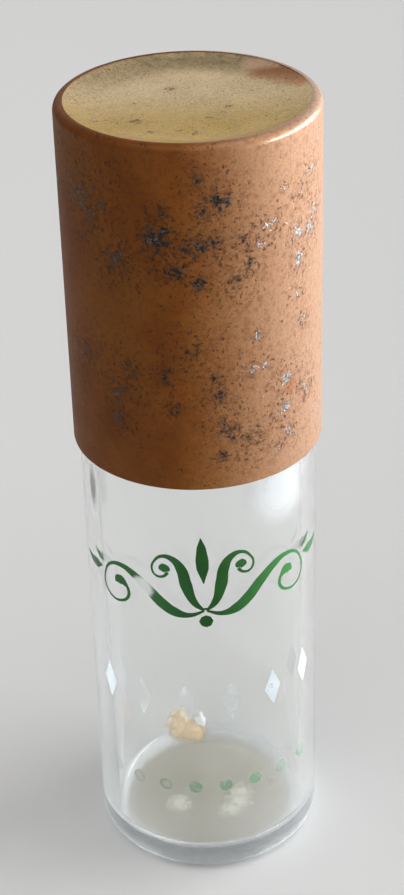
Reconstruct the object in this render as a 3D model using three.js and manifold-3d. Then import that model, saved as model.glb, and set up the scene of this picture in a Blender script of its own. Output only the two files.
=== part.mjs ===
// Miniature perfume bottle: a round glass bottle with a screw neck, a pour plug in the neck,
// and a tall cap made of a metal sleeve, a metal top disc, a moulded inner cap and a two-layer liner.
// Millimetres, +Z up, origin at the middle of the foot, cap screwed down.
import * as THREE from "three";
import { mergeVertices } from "three/addons/utils/BufferGeometryUtils.js";
import Module from "manifold-3d";

const wasm = await Module();
wasm.setup();

// Driving dimensions: glass bottle
const BODY_DIAMETER = 19.1;
const BODY_WALL = 1.3;
const BODY_HEIGHT = 41.0; // foot to the start of the shoulder
const BASE_THICKNESS = 1.5; // at the edge of the floor
const FLOOR_CROWN = 0.3; // rise of the inside floor at its middle
const FLOOR_CORNER = 1.5; // radius between floor and wall, inside
const HEEL_RADIUS = 1.6;
const FOOT_WIDTH = 0.9; // flat ring that the bottle stands on
const PUSH_UP = 0.5; // hollow under the base
const SHOULDER_HEIGHT = 2.4;
const NECK_DIAMETER = 13.1; // at the root of the thread
const NECK_HEIGHT = 7.75; // shoulder to lip
const NECK_FILLET = 0.5;
const NECK_BORE = 8.5;
const BORE_FLARE = 1.3; // radius where the bore opens into the body
const LIP_RADIUS = 0.6; // outer edge of the lip
const LIP_INNER_RADIUS = 0.3;
const THREAD_DEPTH = 0.75; // room left for the thread between neck and inner cap

// Driving dimensions: pour plug
const PLUG_CLEARANCE = 0.08;
const PLUG_BEAD = 0.05; // how far its sealing beads stand out
const PLUG_BEAD_HEIGHT = 0.7;
const PLUG_BEADS = 2;
const PLUG_WALL = 0.85;
const PLUG_LENGTH = 5.5; // below the lip
const PLUG_LEAD_IN = 0.5; // taper at its lower end
const PLUG_FLANGE_MARGIN = 0.2; // flange edge to the lip's rounded edge
const PLUG_FLANGE_THICKNESS = 0.7;
const PLUG_ROOF = 0.8; // material round the orifice
const ORIFICE_DIAMETER = 2.0;
const POUR_CONE_DIAMETER = 6.0;

// Driving dimensions: liner, inner cap, sleeve and top disc
const SEAT_GAP = 0.02; // between faces that press on each other
const LINER_FACING = 0.15;
const LINER_BACKING = 1.05;
const LINER_CLEARANCE = 0.15;
const THREAD_CLEARANCE = 0.15;
const SOCKET_WALL = 0.95;
const SOCKET_GAP = 0.6; // inner cap above the shoulder
const WEB_THICKNESS = 1.2;
const SPACER_WALL = 0.9; // tube above the web, which carries the top disc
const RIB_COUNT = 16;
const RIB_WIDTH = 0.9;
const RIB_ROOT = 0.3; // how far a rib is sunk into the socket's wall
const INNER_CAP_CLEARANCE = 0.08;
const SKIRT_CLEARANCE = 0.15; // between the sleeve and the glass body
const SKIRT_OVERLAP = 1.6; // how far the sleeve reaches down over the body
const SLEEVE_WALL = 0.3;
const CAP_HEIGHT = 28.1;
const RIM_RADIUS = 0.7; // rounded edge round the top
const SLEEVE_EDGE = 0.1; // rounding of the open edge
const DISC_THICKNESS = 0.35;
const DISC_CLEARANCE = 0.04;
const DISC_STEP = 0.04; // how far its edge lies below the top of the sleeve
const DISC_DISH = 0.65; // depth of the hollow in the top
const DISC_FLAT_DIAMETER = 12.4; // flat middle of the hollow

const SEGMENTS = 64;

// Derived sizes and levels
const bodyRadius = BODY_DIAMETER / 2;
const cavityRadius = bodyRadius - BODY_WALL;
const neckRadius = NECK_DIAMETER / 2;
const boreRadius = NECK_BORE / 2;
const shoulderTop = BODY_HEIGHT + SHOULDER_HEIGHT;
const lipTop = shoulderTop + NECK_HEIGHT;
const plugRadius = boreRadius - PLUG_CLEARANCE;
const plugFlangeRadius = neckRadius - LIP_RADIUS - PLUG_FLANGE_MARGIN;
const plugFlangeBottom = lipTop + SEAT_GAP;
const plugTop = plugFlangeBottom + PLUG_FLANGE_THICKNESS;
const facingBottom = plugTop + SEAT_GAP;
const backingBottom = facingBottom + LINER_FACING + SEAT_GAP;
const webBottom = backingBottom + LINER_BACKING + SEAT_GAP;
const webTop = webBottom + WEB_THICKNESS;
const socketRadius = neckRadius + THREAD_DEPTH + THREAD_CLEARANCE;
const socketOuter = socketRadius + SOCKET_WALL;
const socketBottom = shoulderTop + SOCKET_GAP;
const linerRadius = socketRadius - LINER_CLEARANCE;
const sleeveInner = bodyRadius + SKIRT_CLEARANCE;
const sleeveOuter = sleeveInner + SLEEVE_WALL;
const sleeveBottom = BODY_HEIGHT - SKIRT_OVERLAP;
const capTop = sleeveBottom + CAP_HEIGHT;
const innerCapOuter = sleeveInner - INNER_CAP_CLEARANCE;
const spacerInner = innerCapOuter - SPACER_WALL;
const rimInner = sleeveOuter - RIM_RADIUS;
const discRadius = rimInner - DISC_CLEARANCE;
const dishFlat = DISC_FLAT_DIAMETER / 2;
const dishCurve = ((discRadius - dishFlat) ** 2 + DISC_DISH ** 2) / (2 * DISC_DISH);
const discTop = capTop - DISC_STEP;
const spacerTop = dishLevel(spacerInner) - DISC_THICKNESS - SEAT_GAP;

// Height of the dished top at a distance from the axis: flat in the middle, curving up towards the edge
function dishLevel(radius) {
  const out = Math.max(0, radius - dishFlat);
  return discTop - DISC_DISH + dishCurve - Math.sqrt(dishCurve ** 2 - out ** 2);
}

const point = (radius, height) => new THREE.Vector2(radius, height);

// Points along part of an ellipse, from one angle to another in degrees
function arc(radius, height, across, up, from, to, steps) {
  const turn = THREE.MathUtils.degToRad;
  return Array.from({ length: steps + 1 }, (_, i) => {
    const angle = turn(from + ((to - from) * i) / steps);
    return point(radius + across * Math.cos(angle), height + up * Math.sin(angle));
  });
}

const roundArc = (radius, height, size, from, to, steps) =>
  arc(radius, height, size, size, from, to, steps);

// A profile turned about the +Z axis. It runs anticlockwise and starts and ends on the axis, or is a loop.
function revolve(profile) {
  const lathe = new THREE.LatheGeometry(profile, SEGMENTS).rotateX(Math.PI / 2);
  return welded(lathe);
}

const closed = (loop) => [...loop, loop[0].clone()];

// One closed surface: shared corners merged, and the triangles that collapse on the axis left out
function welded(geometry) {
  const bare = geometry.clone();
  bare.deleteAttribute("normal");
  bare.deleteAttribute("uv");
  const merged = mergeVertices(bare, 1e-4);
  const corners = merged.index.array;
  const kept = [];
  for (let i = 0; i < corners.length; i += 3) {
    const [a, b, c] = corners.slice(i, i + 3);
    if (a !== b && b !== c && c !== a) kept.push(a, b, c);
  }
  return merged.setIndex(kept);
}

function toSolid(geometry) {
  const vertProperties = new Float32Array(geometry.getAttribute("position").array);
  const triVerts = new Uint32Array(geometry.index.array);
  return new wasm.Manifold(new wasm.Mesh({ numProp: 3, vertProperties, triVerts }));
}

function toGeometry(solid) {
  const { vertProperties, triVerts } = solid.getMesh();
  return new THREE.BufferGeometry()
    .setAttribute("position", new THREE.BufferAttribute(new Float32Array(vertProperties), 3))
    .setIndex(new THREE.BufferAttribute(new Uint32Array(triVerts), 1));
}

function piece(name, geometry, colour, roughness, metalness) {
  geometry.computeVertexNormals();
  const material = new THREE.MeshStandardMaterial({ color: colour, roughness, metalness });
  const mesh = new THREE.Mesh(geometry, material);
  mesh.name = name;
  return mesh;
}

// Bottle: hollow base, rounded heel, straight body, elliptical shoulder, plain neck and rounded lip
function glassBottle() {
  const footOuter = bodyRadius - HEEL_RADIUS;
  const footInner = footOuter - FOOT_WIDTH;
  const neckFoot = neckRadius + NECK_FILLET;
  const outside = [
    ...arc(0, 0, footInner, PUSH_UP, 90, 0, 5),
    ...roundArc(footOuter, HEEL_RADIUS, HEEL_RADIUS, 270, 360, 5),
    ...arc(neckFoot, BODY_HEIGHT, bodyRadius - neckFoot, SHOULDER_HEIGHT, 0, 90, 7),
    ...roundArc(neckFoot, shoulderTop + NECK_FILLET, NECK_FILLET, 270, 180, 3).slice(1),
    ...roundArc(neckRadius - LIP_RADIUS, lipTop - LIP_RADIUS, LIP_RADIUS, 0, 90, 3),
  ];
  const flareFoot = boreRadius + BORE_FLARE;
  const cavityShoulder = BODY_HEIGHT - BODY_WALL;
  const flareBottom = cavityShoulder + SHOULDER_HEIGHT;
  const floorEdge = cavityRadius - FLOOR_CORNER;
  const inside = [
    ...roundArc(boreRadius + LIP_INNER_RADIUS, lipTop - LIP_INNER_RADIUS, LIP_INNER_RADIUS, 90, 180, 3),
    ...roundArc(flareFoot, flareBottom + BORE_FLARE, BORE_FLARE, 180, 270, 4),
    ...arc(flareFoot, cavityShoulder, cavityRadius - flareFoot, SHOULDER_HEIGHT, 90, 0, 5).slice(1),
    ...roundArc(floorEdge, BASE_THICKNESS + FLOOR_CORNER, FLOOR_CORNER, 360, 270, 4),
    ...arc(0, BASE_THICKNESS, floorEdge, FLOOR_CROWN, 0, 90, 4).slice(1),
  ];
  return piece("glass_bottle", revolve([...outside, ...inside]), 0xe9efee, 0.05, 0.0);
}

// Pour plug: a flange on the lip, a hollow shank with sealing beads, and a small orifice in a cone
function pourPlug() {
  const shankInner = plugRadius - PLUG_WALL;
  const bottom = lipTop - PLUG_LENGTH;
  const orifice = ORIFICE_DIAMETER / 2;
  const roofBottom = plugFlangeBottom - PLUG_ROOF;
  const beadSpacing = (PLUG_LENGTH - PLUG_LEAD_IN) / (PLUG_BEADS + 1);
  const beads = Array.from({ length: PLUG_BEADS }, (_, i) => {
    const height = bottom + PLUG_LEAD_IN + beadSpacing * (i + 1);
    return arc(plugRadius, height, PLUG_BEAD, PLUG_BEAD_HEIGHT / 2, -90, 90, 4);
  }).flat();
  const loop = [
    point(shankInner, bottom),
    point(plugRadius - PLUG_LEAD_IN / 2, bottom),
    point(plugRadius, bottom + PLUG_LEAD_IN),
    ...beads,
    point(plugRadius, plugFlangeBottom),
    point(plugFlangeRadius, plugFlangeBottom),
    point(plugFlangeRadius, plugTop),
    point(POUR_CONE_DIAMETER / 2, plugTop),
    point(orifice, plugFlangeBottom),
    point(orifice, roofBottom),
    point(shankInner, roofBottom),
  ];
  return piece("pour_plug", revolve(closed(loop)), 0xf2f1ea, 0.45, 0.0);
}

function linerDisc(name, bottom, thickness, colour, roughness, metalness) {
  const profile = [
    point(0, bottom),
    point(linerRadius, bottom),
    point(linerRadius, bottom + thickness),
    point(0, bottom + thickness),
  ];
  return piece(name, revolve(profile), colour, roughness, metalness);
}

// Inner cap: a threaded socket with outer ribs, a web over the neck, and a spacer tube up to the top disc
function innerCap() {
  const core = revolve([
    point(0, webBottom),
    point(socketRadius, webBottom),
    point(socketRadius, socketBottom),
    point(socketOuter, socketBottom),
    point(socketOuter, webBottom),
    point(innerCapOuter, webBottom),
    point(innerCapOuter, spacerTop),
    point(spacerInner, spacerTop),
    point(spacerInner, webTop),
    point(0, webTop),
  ]);
  const ribInner = socketOuter - RIB_ROOT;
  const ribOuter = Math.sqrt(innerCapOuter ** 2 - (RIB_WIDTH / 2) ** 2) - SEAT_GAP;
  const ribTop = webBottom + WEB_THICKNESS / 2;
  const ribHeight = ribTop - socketBottom;
  let solid = toSolid(core);
  for (let i = 0; i < RIB_COUNT; i++) {
    const rib = new THREE.BoxGeometry(ribOuter - ribInner, RIB_WIDTH, ribHeight)
      .translate((ribInner + ribOuter) / 2, 0, socketBottom + ribHeight / 2)
      .rotateZ((2 * Math.PI * (i + 0.5)) / RIB_COUNT);
    solid = solid.add(toSolid(welded(rib)));
  }
  return piece("inner_cap", toGeometry(solid), 0xeae6da, 0.4, 0.0);
}

// Sleeve: a thin drawn tube, open below, whose top edge is rounded in as far as the disc
function capSleeve() {
  const rimLevel = capTop - RIM_RADIUS;
  const loop = [
    ...roundArc(sleeveOuter - SLEEVE_EDGE, sleeveBottom + SLEEVE_EDGE, SLEEVE_EDGE, 270, 360, 2),
    ...roundArc(rimInner, rimLevel, RIM_RADIUS, 0, 90, 6),
    ...roundArc(rimInner, rimLevel, RIM_RADIUS - SLEEVE_WALL, 90, 0, 4),
    ...roundArc(sleeveInner + SLEEVE_EDGE, sleeveBottom + SLEEVE_EDGE, SLEEVE_EDGE, 180, 270, 2),
  ];
  return piece("cap_sleeve", revolve(closed(loop)), 0xb0744a, 0.38, 0.8);
}

// Top disc: a shallow dish of thin sheet, flat in the middle, set flush in the sleeve's rounded edge
function capTopDisc() {
  const steps = 5;
  const curve = Array.from({ length: steps + 1 }, (_, i) => {
    const radius = dishFlat + ((discRadius - dishFlat) * i) / steps;
    return point(radius, dishLevel(radius));
  });
  const dish = [point(0, dishLevel(0)), ...curve];
  const lowered = dish.map((p) => point(p.x, p.y - DISC_THICKNESS));
  return piece("cap_top_disc", revolve([...lowered, ...dish.reverse()]), 0xb39a5c, 0.35, 0.9);
}

const bottle = new THREE.Group();
bottle.add(glassBottle(), pourPlug());

const liner = new THREE.Group();
liner.add(
  linerDisc("liner_facing", facingBottom, LINER_FACING, 0xc9cccf, 0.3, 0.9),
  linerDisc("liner_backing", backingBottom, LINER_BACKING, 0xb79a73, 0.9, 0.0),
);

const cap = new THREE.Group();
cap.add(innerCap(), capSleeve(), capTopDisc());

const perfumeBottle = new THREE.Group();
perfumeBottle.add(bottle, liner, cap);

export default perfumeBottle;
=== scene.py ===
"""Looks of a miniature perfume bottle: clear glass with a green printed scroll, and a worn copper cap."""
import math

import bmesh
import bpy
from mathutils import Matrix, Vector


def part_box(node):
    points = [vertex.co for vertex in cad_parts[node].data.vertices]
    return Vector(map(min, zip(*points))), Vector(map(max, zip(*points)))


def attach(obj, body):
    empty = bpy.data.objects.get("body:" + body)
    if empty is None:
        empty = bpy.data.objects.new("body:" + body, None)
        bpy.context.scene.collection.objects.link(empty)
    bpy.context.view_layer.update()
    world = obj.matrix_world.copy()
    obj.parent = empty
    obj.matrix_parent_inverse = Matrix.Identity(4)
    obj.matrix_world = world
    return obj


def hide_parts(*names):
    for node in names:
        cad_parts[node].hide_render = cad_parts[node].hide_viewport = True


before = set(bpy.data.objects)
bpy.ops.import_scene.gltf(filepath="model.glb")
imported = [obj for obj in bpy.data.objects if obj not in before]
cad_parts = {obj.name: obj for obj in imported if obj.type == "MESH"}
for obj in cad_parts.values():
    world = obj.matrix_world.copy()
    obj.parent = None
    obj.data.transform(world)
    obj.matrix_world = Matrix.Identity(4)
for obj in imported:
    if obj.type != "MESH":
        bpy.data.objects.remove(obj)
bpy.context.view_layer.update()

MM = 0.001

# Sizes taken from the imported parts
GLASS_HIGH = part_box("glass_bottle")[1]
PLUG_LOW, PLUG_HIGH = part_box("pour_plug")
FOIL_LOW, FOIL_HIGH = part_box("liner_facing")
WAD_LOW, WAD_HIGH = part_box("liner_backing")
INNER_LOW, INNER_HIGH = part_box("inner_cap")
SLEEVE_LOW, SLEEVE_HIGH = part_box("cap_sleeve")
DISC_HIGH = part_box("cap_top_disc")[1]

# Glass bottle
BODY_R = GLASS_HIGH.x
LIP_TOP = GLASS_HIGH.z
WALL = 1.3 * MM
BASE = 1.5 * MM
FLOOR_CROWN = 0.3 * MM
FLOOR_CORNER = 1.5 * MM
HEEL = 1.6 * MM
FOOT = 0.9 * MM
PUSH_UP = 0.5 * MM
SHOULDER = 2.4 * MM
NECK_R = 6.55 * MM
NECK_HEIGHT = 7.75 * MM
NECK_FILLET = 0.5 * MM
BORE_R = 4.25 * MM
BORE_FLARE = 1.3 * MM
LIP = 0.6 * MM
LIP_INNER = 0.3 * MM
SHOULDER_TOP = LIP_TOP - NECK_HEIGHT
BODY_TOP = SHOULDER_TOP - SHOULDER
CAVITY_R = BODY_R - WALL
FILM_REACH = -0.8 * MM
FILM_R = CAVITY_R - 0.2 * MM
FILM_THICKNESS = 0.02 * MM
FILM_LIFT = 0.01 * MM

# Screw thread, right-handed, on the neck and in the inner cap
ON_WALL = 0.01 * MM
PITCH = 2.117 * MM
THREAD_DEPTH = 0.68 * MM
THREAD_CREST = 0.22 * MM
THREAD_FLANK = 0.38 * MM
THREAD_TURNS = 1.6
THREAD_RUN_OUT = 0.12
THREAD_START = SHOULDER_TOP + 2.0 * MM

# Pour plug
SHANK_R = 4.17 * MM
SHANK_WALL = 0.85 * MM
PLUG_BEAD = 0.05 * MM
PLUG_BEAD_RISE = 0.35 * MM
PLUG_BEAD_HEIGHTS = (2.17 * MM, 3.83 * MM)
PLUG_LEAD_IN = 0.5 * MM
FLANGE = 0.7 * MM
FLANGE_ROUND = 0.15 * MM
ROOF = 0.8 * MM
ORIFICE_R = 1.0 * MM
ORIFICE_CHAMFER = 0.1 * MM
CHAMFER_RISE = 0.03 * MM
CHAMFER_DROP = 0.05 * MM
CONE_R = 3.0 * MM

# Liner
LINER_EDGE = 0.05 * MM
LINER_GAP = 0.02 * MM

# Inner cap
SOCKET_R = 7.45 * MM
SOCKET_OUTER = 8.4 * MM
WEB = 1.2 * MM
WEB_BOTTOM = WAD_HIGH.z + LINER_GAP
SPACER_WALL = 0.9 * MM
RIB_COUNT = 16
RIB_WIDTH = 0.9 * MM
RIB_ROOT = 0.3 * MM
RIB_CLEARANCE = 0.02 * MM

# Cap sleeve and top disc
SLEEVE_R = SLEEVE_HIGH.x
CAP_TOP = SLEEVE_HIGH.z
SLEEVE_WALL = 0.3 * MM
RIM = 0.7 * MM
RIM_LIP = 6
RIM_TUCK = 0.03 * MM
SLEEVE_EDGE = 0.1 * MM
DISC_R = DISC_HIGH.x
DISC_TOP = DISC_HIGH.z
DISC_SHEET = 0.35 * MM
DISC_DISH = 0.65 * MM
DISC_FLAT_R = 6.2 * MM

SEGMENTS = 160
# Edges sharper than this many degrees stay sharp
SHARP = 35
SOFT_SHARP = 50
GLASS_SHARP = 60
PRINT_SHARP = 30

# Camera: a pinhole, with its focal length in pixels of the frame
FRAME_HEIGHT_PX = 895
FOCAL_PX = 2000.0
SENSOR = 36.0
CAMERA_PLACE = Vector((0.0, -139.57, 120.8)) * MM
CAMERA_PITCH = math.radians(30.914)
CAMERA_ROLL = math.radians(-1.765)
CAMERA_YAW = math.radians(-0.116)


class Wire:
    """One output of a node. Arithmetic on wires adds Math nodes to the same tree."""

    def __init__(self, tree, socket):
        self.tree = tree
        self.socket = socket

    def out(self, key):
        """Another output of the same node."""
        return Wire(self.tree, self.socket.node.outputs[key])

    def math(self, operation, other=0.0):
        return node(self.tree, "ShaderNodeMath", {0: self, 1: other}, {"operation": operation})

    def smooth(self, low, high):
        """0 at low, 1 at high, with a smooth step between them."""
        settings = {"interpolation_type": "SMOOTHSTEP"}
        return node(self.tree, "ShaderNodeMapRange", {0: self, 1: low, 2: high}, settings)

    def __add__(self, other):
        return self.math("ADD", other)

    def __sub__(self, other):
        return self.math("SUBTRACT", other)

    def __mul__(self, other):
        return self.math("MULTIPLY", other)

    def __truediv__(self, other):
        return self.math("DIVIDE", other)

    def __radd__(self, other):
        return self.math("ADD", other)

    def __rsub__(self, other):
        return node(self.tree, "ShaderNodeMath", {0: other, 1: self}, {"operation": "SUBTRACT"})


def node(tree, kind, sockets=None, settings=None, output=0):
    """Adds a node: first its settings, then the values or wires of its sockets."""
    made = tree.nodes.new(kind)
    for name, value in (settings or {}).items():
        setattr(made, name, value)
    for key, value in (sockets or {}).items():
        if isinstance(value, Wire):
            tree.links.new(value.socket, made.inputs[key])
        else:
            made.inputs[key].default_value = value
    return Wire(tree, made.outputs[output])


# Materials

def rgb(red, green, blue):
    return (red, green, blue, 1.0)


def new_material(name):
    """A material without nodes, its tree, and the place on the object."""
    material = bpy.data.materials.new(name)
    material.use_nodes = True
    tree = material.node_tree
    tree.nodes.clear()
    return material, tree, node(tree, "ShaderNodeTexCoord").out("Object")


def set_surface(tree, shader):
    last = tree.nodes.new("ShaderNodeOutputMaterial")
    tree.links.new(shader.socket, last.inputs["Surface"])


def stretched(tree, place, factors):
    settings = {"operation": "MULTIPLY"}
    return node(tree, "ShaderNodeVectorMath", {0: place, 1: factors}, settings)


def noise(tree, place, size, detail=3.0, roughness=0.5, distortion=0.0):
    """Noise from 0 to 1 whose main features are about size metres across."""
    sockets = {"Vector": place, "Scale": 1.0 / size, "Detail": detail}
    sockets.update({"Roughness": roughness, "Distortion": distortion})
    return node(tree, "ShaderNodeTexNoise", sockets)


def blend(tree, factor, first, second):
    """A colour that goes from first to second."""
    settings = {"data_type": "RGBA"}
    return node(tree, "ShaderNodeMix", {0: factor, 6: first, 7: second}, settings, 2)


def bump(tree, height, depth, strength):
    sockets = {"Strength": strength, "Distance": depth, "Height": height}
    return node(tree, "ShaderNodeBump", sockets)


def split(tree, place):
    """The coordinates of a place: along X, Y and Z."""
    parts = node(tree, "ShaderNodeSeparateXYZ", {0: place})
    return parts, parts.out(1), parts.out(2)


def distance(tree, place, centre):
    settings = {"operation": "DISTANCE"}
    return node(tree, "ShaderNodeVectorMath", {0: place, 1: centre}, settings, 1)


def off_axis(tree, place):
    """How far a place is from the upright axis."""
    along, back, _ = split(tree, place)
    return (along * along + back * back).math("SQRT")


def highest(wires):
    """The largest of several values."""
    top = wires[0]
    for wire in wires[1:]:
        top = top.math("MAXIMUM", wire)
    return top


def seen_ray(tree):
    """1 for rays that come from the camera, also through glass."""
    path = node(tree, "ShaderNodeLightPath").out("Is Camera Ray")
    return path.math("MAXIMUM", path.out("Is Transmission Ray"))


def principled(tree, sockets):
    return node(tree, "ShaderNodeBsdfPrincipled", sockets)


def surfaced(material, tree, sockets):
    set_surface(tree, principled(tree, sockets))
    return material


def on_round(radius, degrees, height):
    """A point on an upright cylinder, with the angle counted from the front to the right."""
    angle = math.radians(degrees)
    return Vector((radius * math.sin(angle), -radius * math.cos(angle), height))


# Painted light on the glass under the cap: a pale hazy patch on the right stands for the window's
# reflection, and a dark mark on the left stands for the dark cap seen through the inner wall
WINDOW_HIGHLIGHT_PLACE = on_round(BODY_R, 43, 37.6 * MM)
WINDOW_HIGHLIGHT_SIZE = 3.7 * MM
CAP_REFLECTION_PLACE = on_round(BODY_R, -63, 36.6 * MM)
CAP_REFLECTION_SIZE = 0.75 * MM
CAP_REFLECTION_STRETCH = Vector((1.0, 1.0, 0.3))
HAZE_TOP = 9.0 * MM


def clear_glass():
    """Clear glass, a little hazy and scuffed dull round the heel, with a painted window highlight and a
    painted dark reflection under the cap, and a painted glow for the light gathered on the left.
    """
    material, tree, place = new_material("clear_glass")
    ripple = noise(tree, stretched(tree, place, (1.0, 1.0, 0.35)), 5.0 * MM, 1.0)
    smear = noise(tree, place, 4.0 * MM, 4.0, 0.6).smooth(0.52, 0.75)
    scratch = noise(tree, place, 0.6 * MM, 4.0, 0.65)
    along, back, level = split(tree, place)
    aside = along / BODY_R
    # Painted highlight: a pale haze patch on the upper right, lit by the window lamp, stands for the
    # window's reflection
    painted_window_highlight = (distance(tree, place, WINDOW_HIGHLIGHT_PLACE) / WINDOW_HIGHLIGHT_SIZE + smear * 0.3).smooth(1.1, 0.35) * 0.28
    # Painted dark reflection: a dark mark on the upper left stands for the dark cap seen through the
    # inner wall
    away = distance(tree, stretched(tree, place, CAP_REFLECTION_STRETCH), CAP_REFLECTION_PLACE * CAP_REFLECTION_STRETCH)
    painted_cap_reflection = (away / CAP_REFLECTION_SIZE).smooth(1.5, 0.3)
    # Painted glow: the haze on the outer left takes an emission that stands for window light focused
    # through the glass
    left_edge = aside.smooth(-0.78, -1.0) * level.smooth(BODY_TOP, HEEL) * 0.14
    outermost = (off_axis(tree, place) / BODY_R).smooth(0.8, 0.9)
    gathered = aside.smooth(0.1, -0.6) * outermost * (1.0 - painted_cap_reflection)
    unworn = (back / BODY_R).smooth(-0.84, -0.97) * 0.8
    scuffed = level.smooth(HEEL * 1.3, HEEL * 0.2) * (0.24 + scratch * 0.34) * (1.0 - unworn)
    # Haze from scuffs and low on the wall is the glass's own, though it glows on the left; the patch, the
    # dark mark and the left edge carry painted light
    haze_and_painted_light = scuffed + painted_window_highlight + left_edge + painted_cap_reflection * 0.6 + level.smooth(HAZE_TOP, HEEL) * 0.07
    clear = principled(tree, {
        "Base Color": rgb(0.985, 0.993, 0.99),
        "Roughness": smear * 0.04,
        "IOR": 1.5,
        "Transmission Weight": 0.965,
        "Normal": bump(tree, ripple, 0.05 * MM, 0.5),
    })
    dull = principled(tree, {
        # Painted dark reflection: the dull layer turns dark where the cap's image is painted
        "Base Color": blend(tree, painted_cap_reflection, rgb(0.83, 0.86, 0.89), rgb(0.12, 0.12, 0.11)),
        "Roughness": 0.5 + scratch * 0.2,
        "Emission Color": blend(tree, gathered, rgb(0.0, 0.0, 0.0), rgb(0.95, 0.99, 1.0)),
        "Emission Strength": 0.6,
    })
    set_surface(tree, node(tree, "ShaderNodeMixShader", {0: haze_and_painted_light, 1: clear, 2: dull}))
    return material


# Worn places on the cap: angle in degrees from the front, height, size and how bare they are
DULL_ZONES = (
    (2, 65.0, 1.0, 0.65), (11, 63.4, 1.35, 1.0), (5, 62.5, 0.9, 0.65), (-13, 62.2, 0.9, 0.75),
    (-15, 60.3, 1.7, 1.4), (-3, 59.6, 1.4, 0.9), (3, 59.8, 1.1, 0.8), (9, 59.8, 1.2, 0.9),
    (22, 59.9, 1.2, 0.55), (-7, 57.9, 1.2, 1.0), (-12, 57.6, 0.8, 0.8), (2, 56.9, 1.0, 0.9),
    (24, 57.9, 0.8, 0.55), (18, 56.9, 0.9, 0.45), (-34, 58.2, 1.6, 0.75), (-54, 62.5, 2.6, 0.6),
    (-48, 61.0, 1.6, 0.6), (-53, 59.3, 1.2, 0.65), (-40, 62.4, 1.3, 0.5), (-2, 51.0, 1.1, 0.4),
    (-13, 49.4, 1.0, 0.95), (-30, 49.4, 1.1, 0.6), (-35, 47.4, 1.6, 0.7), (-37, 44.8, 1.2, 0.8),
    (8, 48.9, 0.9, 0.55), (9, 47.6, 1.1, 0.7), (-9, 46.6, 0.7, 0.95), (12, 45.0, 1.1, 0.7),
    (16, 44.2, 0.9, 0.65), (10, 42.4, 0.55, 0.8), (23, 43.3, 1.2, 0.65), (-53, 49.3, 1.2, 0.55),
    (130, 60.3, 2.6, 0.8), (165, 47.1, 2.8, 0.8), (200, 56.7, 2.4, 0.75), (245, 48.6, 2.6, 0.8),
    (275, 61.8, 2.0, 0.7),
)
CLEAN_ZONES = (
    (61, 63.3, 0.8, 0.85), (35, 60.6, 0.85, 0.9), (51, 59.1, 0.85, 0.95), (62, 58.9, 0.9, 0.85),
    (52, 56.9, 0.9, 0.9), (50, 54.2, 0.6, 0.85), (54, 51.6, 0.6, 0.85), (31, 49.5, 0.65, 0.95),
    (24, 49.2, 0.6, 0.85), (42, 47.4, 1.1, 0.75), (56, 46.0, 0.9, 0.75), (42, 45.0, 1.1, 0.75),
    (44, 42.8, 0.85, 0.95), (38, 41.9, 0.5, 0.8), (64, 60.1, 0.8, 0.75), (30, 59.4, 0.6, 0.8),
    (42, 63.2, 0.35, 0.95), (52, 61.9, 0.7, 0.6), (28, 52.0, 0.5, 0.75), (100, 49.1, 1.4, 0.75),
    (150, 54.0, 1.2, 0.7),
)
RED_ZONES = ((46, 46.6, 0.8, 1.0),)


def wear_cover(tree, place, zones):
    """How bare the lacquer is worn in some zones on the cap's side. It is below 0 outside them."""
    covers = []
    for degrees, height, size, bare in zones:
        apart = distance(tree, place, on_round(SLEEVE_R, degrees, height * MM))
        covers.append((1.0 - apart / (size * MM)) * bare)
    return highest(covers)


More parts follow.
